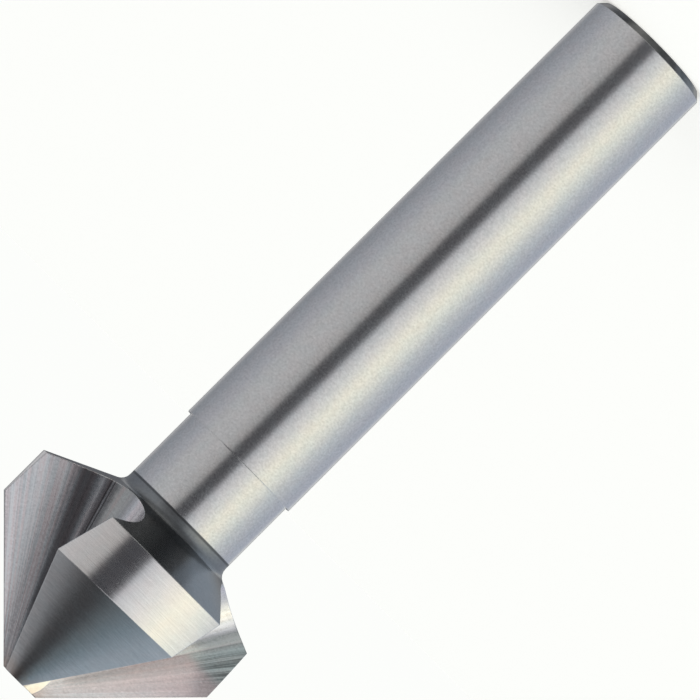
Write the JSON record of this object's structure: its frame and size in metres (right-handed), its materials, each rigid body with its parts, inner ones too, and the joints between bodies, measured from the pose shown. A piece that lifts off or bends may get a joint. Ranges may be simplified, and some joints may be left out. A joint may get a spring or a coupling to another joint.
{
  "type": "countersink bit",
  "caption": "Right-hand cutting countersink bit with a right-angled cone, deep fan-shaped flutes, relieved teeth, a necked back and a plain straight shank.",
  "frame": {"origin": "middle of the shank's end face, on which the bit stands", "axes": "+Z along the bit's axis from the shank's end to the point; one tooth faces -Y"},
  "size_m": [0.0205, 0.0201, 0.0633],
  "materials": {
    "ground_steel": "bright ground high speed steel, with fine grinding lines round the shank and cone and along the flutes"
  },
  "bodies": {
    "root": {"countersink_bit": "ground_steel"}
  },
  "joints": []
}
